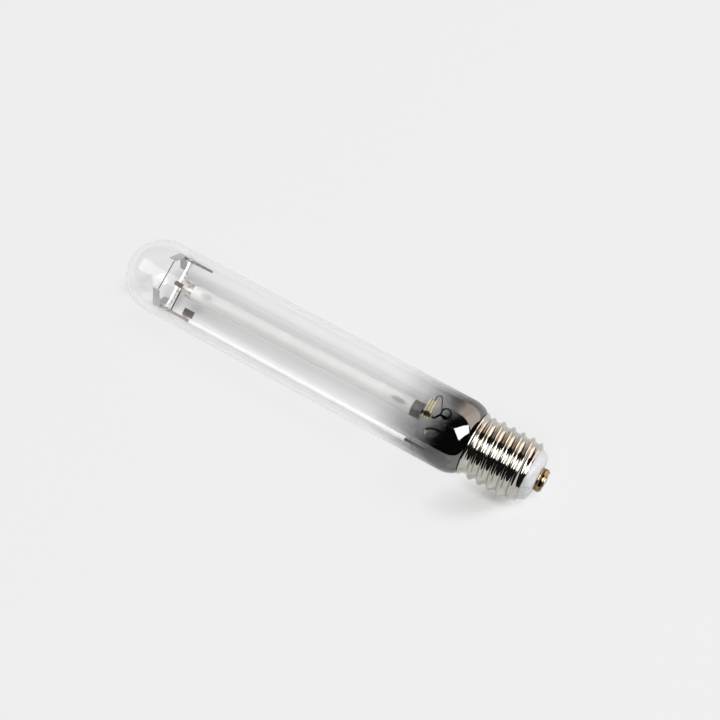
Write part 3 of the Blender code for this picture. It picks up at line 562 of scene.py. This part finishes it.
# Contact disc with its step and the dish for the solder, from the dish round to the foot
contact = {
    "foot": 281.5 * mm,
    "top": 285.7 * mm,
    "radius": 7.3 * mm,
    "stepRadius": 6.4 * mm,
    "stepHeight": 0.9 * mm,
    "ease": 0.35 * mm,
    "hole": 0.7 * mm,
    "dishRadius": 3.3 * mm,
    "dishFloor": 284.8 * mm,
    "steps": 96,
}
shoulder = contact["top"] - contact["stepHeight"]
contactLine = [
    (contact["dishFloor"], contact["hole"]), (contact["dishFloor"], contact["dishRadius"] - 0.2 * mm),
    (contact["dishFloor"] + 0.2 * mm, contact["dishRadius"]), (contact["top"] - 0.15 * mm, contact["dishRadius"]),
    (contact["top"], contact["dishRadius"] + 0.2 * mm),
    (contact["top"] - 0.05 * mm, contact["stepRadius"] - contact["ease"]),
    (contact["top"] - 0.3 * contact["ease"], contact["stepRadius"] - 0.3 * contact["ease"]),
    (contact["top"] - contact["ease"], contact["stepRadius"]), (shoulder + 0.1 * mm, contact["stepRadius"]),
    (shoulder, contact["stepRadius"] + 0.1 * mm), (shoulder, contact["radius"] - contact["ease"]),
    (shoulder - 0.3 * contact["ease"], contact["radius"] - 0.3 * contact["ease"]),
    (shoulder - contact["ease"], contact["radius"]), (contact["foot"] + 0.9 * mm, contact["radius"]),
    (contact["foot"] + 0.5 * mm, contact["radius"] - 0.25 * mm), (contact["foot"], contact["radius"] - 0.1 * mm),
    (contact["foot"], contact["hole"])]
turnedPiece("centreContact", fromMiddle(contactLine), contact["steps"], contactBrass, ["centre_contact"], closed=True)
solder = {"foot": 285.1 * mm, "height": 0.5 * mm, "radius": 2.7 * mm}
solderLine = [(solder["foot"] + solder["height"] * cos(turn), solder["radius"] * sin(turn)) for turn in quarterTurns(8)]
turnedPiece("contactSolder", fromMiddle(solderLine + [(solder["foot"], 0)]), 48, solderTin, ["contact_solder"])
print("cap end made")

# Arc tube and what is on its leaning axis
arc = {
    "start": 39.4 * mm,
    "end": 204.0 * mm,
    "shiftStart": 0.4 * mm,
    "shiftEnd": 2.1 * mm,
    "depth": -0.6 * mm,
    "radius": 4.7 * mm,
    "wall": 0.75 * mm,
    "shieldWidth": 6.3 * mm,
    "shieldOverhang": 0.3 * mm,
    "shieldWall": 0.15 * mm,
    "shieldGap": 0.2 * mm,
    "hemWidth": 0.5 * mm,
    "hemSlope": 0.2 * mm,
    "hemRise": 0.06 * mm,
    "feedRadius": 1.45 * mm,
    "feedWall": 0.3 * mm,
    "feedReachDome": 8 * mm,
    "feedReachBase": 6.2 * mm,
    "plugDepth": 5 * mm,
    "pinch": [(0.8 * mm, 1.0), (0.35 * mm, 0.9), (0, 0.62), (0, 0)],  # (in from the tip, share of the radius)
    "pinchInside": 0.7 * mm,
}
arcFoot = place(-arc["shiftStart"], arc["depth"], arc["start"])
arcHead = place(-arc["shiftEnd"], arc["depth"], arc["end"])
arcDirection = (arcHead - arcFoot).normalized()
arcLength = (arcHead - arcFoot).length


def arcCentreX(height):
    share = (height - arc["start"]) / (arc["end"] - arc["start"])
    return -(arc["shiftStart"] + (arc["shiftEnd"] - arc["shiftStart"]) * share)


def sleeveLine(length, inner, outer):
    # The profile of a plain tube with eased outer edges
    return [(0, inner), (0, outer - soft), (soft, outer),
            (length - soft, outer), (length, outer - soft), (length, inner)]


tubeLine = sleeveLine(arcLength, arc["radius"] - arc["wall"], arc["radius"])
turnedPiece("arcTube", tubeLine, 64, alumina, ["arc_tube"], arcFoot, arcDirection, closed=True)
# Each shield is foil folded back along both edges, and each feed-through tube is pinched shut at its tip
shieldInner = arc["radius"] + arc["shieldGap"]
shieldOuter = shieldInner + arc["shieldWall"]
shieldSunk = shieldOuter - arc["hemRise"]
feedRadius, feedInner = arc["feedRadius"], arc["feedRadius"] - arc["feedWall"]
for end, foot, way, reach, foil in (
        ("dome", arcFoot, arcDirection, arc["feedReachDome"], paintedLitFoil),
        ("base", arcHead, -arcDirection, arc["feedReachBase"], shieldFoil)):
    low, high = -arc["shieldOverhang"], arc["shieldWidth"] - arc["shieldOverhang"]
    hem, slope = arc["hemWidth"], arc["hemWidth"] + arc["hemSlope"]
    shieldLine = [
        (low, shieldInner), (low, shieldOuter), (low + hem, shieldOuter), (low + slope, shieldSunk),
        (high - slope, shieldSunk), (high - hem, shieldOuter), (high, shieldOuter), (high, shieldInner)]
    turnedPiece(f"{end}Shield", shieldLine, 64, foil, [f"{end}_heat_shield"], foot, way, closed=True)
    feedLine = [(arc["plugDepth"], feedRadius)]
    feedLine += [(inward - reach, feedRadius * share) for inward, share in arc["pinch"]]
    feedLine += [(arc["feedWall"] - reach, 0), (arc["pinchInside"] - reach, feedInner), (arc["plugDepth"], feedInner)]
    turnedPiece(f"{end}FeedTube", feedLine, 40, feedNiobium, [f"{end}_feed_tube"], foot, way, closed=True)
print("arc tube made")

# Wire frame
wireFrame = {
    "offset": 16.6 * mm,
    "radius": 0.85 * mm,
    "start": 28.4 * mm,
    "stubEnd": 49.3 * mm,
    "turnHeight": 219.0 * mm,
    "bend": 3 * mm,
    "sleeveRadius": 1.6 * mm,
    "sleeveStart": 51.0 * mm,
    "sleeveEnd": 202.5 * mm,
}
press = {"top": 225.3 * mm, "join": 231.35 * mm, "spread": 5.7 * mm}
sideLead = {
    "reach": 13.9 * mm,
    "bow": 2.2 * mm,
    "bowPower": 0.8,
    "drift": 0.9 * mm,
    "tip": 3.6 * mm,
    "diameter": 1.6 * mm,
    "hook": [(0.07, 0), (0.33, 0.1), (1, 0.06)],  # (outward, down) as shares of the tip
}


def sideLeadX(height):
    share = (press["top"] - height) / sideLead["reach"]
    bow = sideLead["bow"] * max(0.0, sin(pi * share)) ** sideLead["bowPower"]
    return press["spread"] - bow - sideLead["drift"] * share


offset, rodRadius, rodFoot = wireFrame["offset"], wireFrame["radius"], wireFrame["start"]
rodTurn = wireFrame["turnHeight"]
rodWeld = sideLeadX(rodTurn) + sideLead["diameter"] / 2 + gap
rodPath = bent([(offset, 0, rodFoot), (offset, 0, rodTurn), (rodWeld, 0, rodTurn)], wireFrame["bend"])
stubPath = [(-offset, 0, rodFoot), (-offset, 0, wireFrame["stubEnd"])]
wirePiece("mainRod", [place(*p) for p in rodPath], 2 * rodRadius, frameSteelPaintedDark, ["main_rod"])
wirePiece("stubRod", [place(*p) for p in stubPath], 2 * rodRadius, frameSteelPaintedDark, ["stub_rod"])
rodSleeve = sleeveLine(wireFrame["sleeveEnd"] - wireFrame["sleeveStart"], rodRadius + gap, wireFrame["sleeveRadius"])
turnedPiece("rodSleeve", rodSleeve, 40, sleeveSteatite, ["rod_sleeve"], place(offset, 0, wireFrame["sleeveStart"]),
            closed=True)

# Leaf springs and the tie wire between their near tips
spring = {
    "height": 27.4 * mm,
    "width": 4.7 * mm,
    "thickness": 0.3 * mm,
    "bend": 2.4 * mm,
    "lean": radians(8.5),
    "domeCentre": 23.2 * mm,
    "mainNear": radians(68),
    "mainFar": radians(59),
    "stubNear": radians(56),
    "stubFar": radians(62),
}
tie = {"diameter": 0.6 * mm, "rise": 0.2}  # the rise is a share of the spring's width
springBack = offset + rodRadius + gap + spring["thickness"] / 2
leanRise = spring["domeCentre"] * sin(spring["lean"])
domeDrop = spring["domeCentre"] - (spring["height"] - spring["width"] / 2 - leanRise)
glassThere = sqrt((bulb["radius"] - bulb["wall"]) ** 2 - max(0, domeDrop) ** 2)
tipRadius = glassThere - gap - spring["thickness"]


def leaned(x, y, up=0.0):
    lean = -spring["lean"]
    return place(x, y * cos(lean) - up * sin(lean), spring["height"] + y * sin(lean) + up * cos(lean))


for side, rod in ((1, "main"), (-1, "stub")):
    near, far = spring[rod + "Near"], spring[rod + "Far"]
    plan = bent([
        (side * tipRadius * cos(near), -tipRadius * sin(near), 0), (side * springBack, 0, 0),
        (side * tipRadius * cos(far), tipRadius * sin(far), 0)], spring["bend"])
    half = spring["width"] / 2
    stripPiece(rod + "Spring", [leaned(p.x, p.y, -half) for p in plan], leaned(0, 0, half) - leaned(0, 0, -half),
               spring["thickness"], springSteel, [rod + "_spring"])
tieRadius = tipRadius - spring["thickness"] / 2 - gap - tie["diameter"] / 2
tieEnds = [(side * tieRadius * cos(spring[near]), -tieRadius * sin(spring[near]), tie["rise"] * spring["width"])
           for side, near in ((-1, "stubNear"), (1, "mainNear"))]
wirePiece("tieWire", [leaned(*p) for p in tieEnds], tie["diameter"], leadNickelPaintedDark, ["tie_wire"])

# Cross strap with its ends curled round the rods
strap = {"low": 32.4 * mm, "high": 35.2 * mm, "thickness": 0.3 * mm, "curl": 0.45 * pi}
strapBack = rodRadius + gap + strap["thickness"] / 2
strapPlan = arcPoints((-offset, 0), strapBack, pi + strap["curl"], pi / 2)
strapPlan += arcPoints((offset, 0), strapBack, pi / 2, -strap["curl"])
stripPiece("crossStrap", [place(x, y, strap["low"]) for x, y in strapPlan], (strap["high"] - strap["low"], 0, 0),
           strap["thickness"], strapNickel, ["cross_strap"])

# Link wire hooked round the feed-through tube
link = {"belowTube": 1.6 * mm, "diameter": 0.7 * mm, "hookEnd": 1.6 * pi, "short": 0.6 * mm}
linkHook = arc["feedRadius"] + gap + link["diameter"] / 2
linkPlan = arcPoints((-arc["shiftStart"], arc["depth"]), linkHook, pi, link["hookEnd"])
linkPlan.append((offset - link["short"], -(rodRadius + gap + link["diameter"] / 2)))
wirePiece("linkWire", [place(x, y, arc["start"] - link["belowTube"]) for x, y in linkPlan], link["diameter"],
          leadNickelPaintedDark, ["link_wire"])
print("wire frame made")

# Leads out of the stem: the centre one cranked to the arc tube's end, the side one bowed and hooked
centreLead = {"straight": 3.6 * mm, "end": 1.6 * mm, "bend": 0.8 * mm, "diameter": 1.2 * mm}
feedEnd = arc["end"] + arc["feedReachBase"]
feedX = arcCentreX(feedEnd)
leadFoot = feedEnd + gap
centrePath = bent([
    (-press["spread"], 0, press["join"]), (-press["spread"], 0, leadFoot + centreLead["straight"]),
    (feedX, 0, leadFoot + centreLead["end"]), (feedX, 0, leadFoot)], centreLead["bend"], 6)
wirePiece("centreLead", [place(*p) for p in centrePath], centreLead["diameter"], leadNickelPaintedDark, ["centre_inner_lead"])
sideLow = press["top"] - sideLead["reach"]
tipX = sideLeadX(sideLow)
sideHeights = [press["top"] - sideLead["reach"] * i / 8 for i in range(1, 8)]
sidePath = [(press["spread"], 0, press["join"]), (press["spread"], 0, press["top"])]
sidePath += [(sideLeadX(height), 0, height) for height in sideHeights]
sidePath += [(tipX + out * sideLead["tip"], 0, sideLow - down * sideLead["tip"]) for out, down in sideLead["hook"]]
wirePiece("sideLead", [place(*p) for p in smoothLine(sidePath, 3)], sideLead["diameter"], hookNickelPaintedHighlight,
          ["side_inner_lead"])

# Gilt flexible strip beside the feed-through tube, and the loop wire from it to the centre lead
strip = {
    "width": 5.4 * mm,
    "reach": 11.2 * mm,
    "foil": 0.2 * mm,
    "start": 2.4 * mm,
    "clear": 0.15 * mm,
    "up": 0.1 * mm,
    "curve": [(0.45, -0.1 * mm), (0.75, 0.5 * mm), (0.85, 1 * mm)],  # (share of the reach, away from the front)
}
loop = {
    "out": 3.9 * mm,
    "up": 4.7 * mm,
    "end": 7.1 * mm,
    "inset": 0.25 * mm,
    "diameter": 0.62 * mm,
    "shape": [(0, 1, 0), (0.67, 1, 0.06), (0.97, 0, 0.28), (1, 0, 0.51), (0.8, 0, 0.72), (0.05, 0, 1)],
}
stripFront = arc["depth"] - feedRadius - gap - strip["clear"]
stripHeight = feedEnd - strip["width"] / 2 + strip["up"]
stripPlan = [(feedX + strip["start"], stripFront, 0), (feedX - feedRadius, stripFront + strip["curve"][0][1], 0)]
stripPlan += [(feedX - share * strip["reach"], stripFront + away, 0) for share, away in strip["curve"]]
stripPath = [place(p.x, p.y, stripHeight - strip["width"] / 2) for p in smoothLine(stripPlan, 4)]
stripPiece("flexibleStrip", stripPath, (strip["width"], 0, 0), strip["foil"], giltFoil, ["flexible_strip"])
loopX, loopY = stripPlan[-1][0] + loop["inset"], stripPlan[-1][1] + strip["foil"] + 2 * gap
loopStop = -press["spread"] - centreLead["diameter"] / 2 - gap - loop["inset"]
loopPath = [place(loopX - loop["out"] * out, loopY * front, stripHeight + loop["up"] * up)
            for out, front, up in loop["shape"]]
loopPath.append(place(loopStop, 0, stripHeight + loop["end"]))
wirePiece("loopWire", smoothLine(loopPath, 5), loop["diameter"], loopMetal, ["loop_wire"])

# Stop wire across the main rod
stop = {"above": 3 * mm, "ends": (-2.6 * mm, 3.6 * mm), "slope": 0.75, "diameter": 0.5 * mm}
stopHeight = arc["end"] + stop["above"]
stopFront = -(rodRadius + gap + stop["diameter"] / 2)
stopPath = [place(offset + out, stopFront, stopHeight + stop["slope"] * out) for out in stop["ends"]]
wirePiece("stopWire", stopPath, stop["diameter"], frameSteelPaintedDark, ["stop_wire"])

# Getter ring beside the centre lead, a trough open to the back
ring = {
    "outward": 2.1 * mm,
    "front": 0.6 * mm,
    "below": 8.5 * mm,
    "outer": 3.4 * mm,
    "inner": 2.4 * mm,
    "deep": 1 * mm,
    "lip": 0.22 * mm,
    "wall": 0.25 * mm,
    "floor": 0.3 * mm,
}
ringCentre = place(-press["spread"] - ring["outward"], ring["front"] + gap, press["top"] - ring["below"])
ringAway = (place(0, 1, 0) - place(0, 0, 0)).normalized()
ringLine = [
    (ring["deep"], ring["inner"]), (soft, ring["inner"]), (0, ring["inner"] + soft), (0, ring["outer"] - soft),
    (soft, ring["outer"]), (ring["deep"], ring["outer"]), (ring["deep"], ring["outer"] - ring["lip"]),
    (ring["floor"], ring["outer"] - ring["wall"]), (ring["floor"], ring["inner"] + ring["wall"]),
    (ring["deep"], ring["inner"] + ring["lip"])]
turnedPiece("getterRing", ringLine, 56, getterSteel, ["getter_ring"], ringCentre, ringAway, closed=True)
print("leads made")

# Carried-over nodes keep their shape and take their finish
for node, material in {
        "stem_glass": stemGlass, "capping_cement": cement, "centre_outer_lead": copperLead,
        "side_outer_lead": copperLead, "dome_plug": plugAlumina, "base_plug": plugAlumina,
        "dome_electrode": tungsten, "base_electrode": tungsten, "amalgam_dose": amalgamMetal,
        "getter_plate": getterAlloy}.items():
    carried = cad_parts[node]
    carried.data.materials.clear()
    carried.data.materials.append(material)

# Floor of white paper: all of its shading shows in a band under the bulb and in the streak beside the cap, and little
# of it elsewhere
floorLook = {
    "shade": "#EFEFEF",
    "size": 6.0,
    "round": 0.12,
    "bandMiddle": 9.6 * mm,
    "bandSide": (26 * mm, 20 * mm),
    "bandEnds": [(95 * mm, 80 * mm), (-155 * mm, -140 * mm)],
    "streakMm": (117, -17, 0),
    "streakSizeMm": (42, 16, 1000),
    "streakTurn": radians(41.8),
}
deselectAll()
bpy.ops.mesh.primitive_plane_add(size=floorLook["size"])
floor = bpy.context.object
floor.name = "floor"
floorPaper, tree, shader = newMaterial(
    "whitePaper", Base_Color=shade(floorLook["shade"]), Roughness=0.9, Specular_IOR_Level=0.0)
fromBand = calculate(tree, "ABSOLUTE", calculate(tree, "ADD", objectAxis(tree, "Y"), -floorLook["bandMiddle"]))
band = spread(tree, fromBand, *floorLook["bandSide"], 0, 1)
for ends in floorLook["bandEnds"]:
    band = calculate(tree, "MULTIPLY", band, spread(tree, objectAxis(tree, "X"), *ends, 0, 1))
streak = softSpot(tree, floorLook["streakMm"], floorLook["streakSizeMm"], floorLook["streakTurn"])
shown = calculate(tree, "MAXIMUM", band, spread(tree, streak, 0, 1, floorLook["round"], 1))
evenLight = addNode(tree, "ShaderNodeEmission", {"Color": shade(floorLook["shade"]), "Strength": 1.0})
showShader(tree, addNode(tree, "ShaderNodeMixShader", {0: shown, 1: evenLight.outputs[0], 2: shader.outputs[0]}))
floor.data.materials.append(floorPaper)

# Room: the camera sees the paper's colour, and everything else a dim room
room = {"diffuse": 0.12, "glossy": 0.012}
world = bpy.data.worlds.new("studio")
bpy.context.scene.world = world
world.use_nodes = True
tree = world.node_tree
path = addNode(tree, "ShaderNodeLightPath")
seen = tree.nodes["Background"]
seen.inputs["Color"].default_value = shade(floorLook["shade"])
ambient = addNode(tree, "ShaderNodeBackground", {"Color": shade("#FFFFFF"), "Strength": room["diffuse"]})
darkRoom = addNode(tree, "ShaderNodeBackground", {"Color": shade("#FFFFFF"), "Strength": room["glossy"]})
straight = calculate(tree, "MAXIMUM", path.outputs["Is Camera Ray"], path.outputs["Is Transmission Ray"])
plain = addNode(tree, "ShaderNodeMixShader", {0: straight, 1: ambient.outputs[0], 2: seen.outputs[0]})
# What a shiny surface reflects is darker still, also when it is seen through glass
mirrored = calculate(tree, "GREATER_THAN", path.outputs["Glossy Depth"], 0.5)
whole = addNode(tree, "ShaderNodeMixShader", {0: mirrored, 1: plain.outputs[0], 2: darkRoom.outputs[0]})
tree.links.new(whole.outputs[0], tree.nodes["World Output"].inputs["Surface"])


# Three soft lights: overhead, beside the camera, and low from the picture's right for the cap's shadow
lightDistance = 3.0


def addLamp(name, toward, size, power):
    toward = Vector(toward)
    bpy.ops.object.light_add(type="AREA", location=toward.normalized() * lightDistance)
    light = bpy.context.object
    light.name = name
    light.data.shape = "DISK"
    light.data.size = size
    light.data.energy = power
    light.rotation_euler = toward.to_track_quat("Z", "Y").to_euler()
    light.visible_glossy = False
    light.visible_transmission = False


addLamp("overheadLight", (0.15, -0.1, 1.0), 0.8, 30)
addLamp("frontLight", (0.2, -0.68, 1.0), 0.8, 27)
addLamp("sideLight", (0.63, 0.50, 0.59), 1.0, 45)

# Cards that only shiny surfaces see, each a patch of a wide sky round the lamp. A corner is (x, turn):
# x is the sideways part of the direction to it, and turn is the angle from straight up, towards the lamp's far side
sky = {"radius": 4.0, "centre": Vector((0, 0, 0.02)), "divisions": 12}


def addCard(name, corners, colour, strength, softEdge=0.02):
    card, tree, shader = newMaterial(name + "Light")
    onCard = addNode(tree, "ShaderNodeSeparateXYZ", {"Vector": addNode(tree, "ShaderNodeTexCoord").outputs["UV"]})
    power = strength
    for axis in ("X", "Y"):
        toEdge = calculate(tree, "PINGPONG", onCard.outputs[axis], 0.5)
        power = calculate(tree, "MULTIPLY", spread(tree, toEdge, 0, softEdge, 0, 1), power)
    showShader(tree, addNode(tree, "ShaderNodeEmission", {"Color": shade(colour), "Strength": power}))
    deselectAll()
    bpy.ops.mesh.primitive_grid_add(x_subdivisions=sky["divisions"], y_subdivisions=sky["divisions"], size=1)
    piece = bpy.context.object
    piece.name = name
    for corner in piece.data.vertices:
        u, v = corner.co.x + 0.5, corner.co.y + 0.5
        shares = ((1 - u) * (1 - v), u * (1 - v), u * v, (1 - u) * v)
        x, turn = [sum(share * part for share, part in zip(shares, parts)) for parts in zip(*corners)]
        across = sqrt(1 - x * x)
        outward = Vector((x, across * sin(radians(turn)), across * cos(radians(turn))))
        corner.co = sky["centre"] + sky["radius"] * outward
    piece.data.materials.append(card)
    piece.visible_camera = False
    piece.visible_diffuse = False
    piece.visible_shadow = False


addCard("windowCard", [(-0.10, -11), (0.53, 25), (0.83, 9), (0.5, -36)], "#FFFFFF", 6.0)
addCard("softboxCard", [(-0.93, -45), (-0.355, -34), (-0.355, -5), (-0.93, 15)], "#FFFFFF", 3.0)
addCard("warmWallCard", [(-0.11, 36), (0.8, 20), (0.7, 104), (-0.114, 104)], "#DBCAC0", 3.0)
addCard("greyWallCard", [(-0.5, 30), (-0.13, 30), (-0.13, 92), (-0.5, 92)], "#E4E6E4", 0.3, 0.4)
addCard("farWallCard", [(-0.93, 72), (-0.13, 72), (-0.13, 108), (-0.93, 108)], "#E6E6E4", 0.9, 0.3)
print("studio made")

# Camera at the photograph's place: it looks at the point that is so far along the lamp and at that pixel of the photo
view = {
    "azimuth": radians(30.7),
    "elevation": radians(64),
    "distance": 0.769,
    "focal": 1300.0,
    "along": 156.55 * mm,
    "pixel": (350.6, 377.5),
    "picture": 720,
    "sensor": 36,
}
azimuth, elevation = view["azimuth"], view["elevation"]
toward = Vector((sin(azimuth) * cos(elevation), -cos(azimuth) * cos(elevation), sin(elevation)))
right = Vector((cos(azimuth), sin(azimuth), 0))
up = toward.cross(right)
metresPerPixel = view["distance"] / view["focal"]
eye = Vector((view["along"] - middle, 0, lamp["axisHeight"])) + toward * view["distance"]
eye -= right * (view["pixel"][0] - view["picture"] / 2) * metresPerPixel
eye += up * (view["pixel"][1] - view["picture"] / 2) * metresPerPixel
bpy.ops.object.camera_add(location=eye)
camera = bpy.context.object
camera.rotation_euler = Matrix((right, up, toward)).transposed().to_euler()
camera.data.sensor_width = view["sensor"]
camera.data.lens = view["focal"] / view["picture"] * view["sensor"]
bpy.context.scene.camera = camera
bpy.context.scene.view_settings.view_transform = "Standard"

print("scene ready")
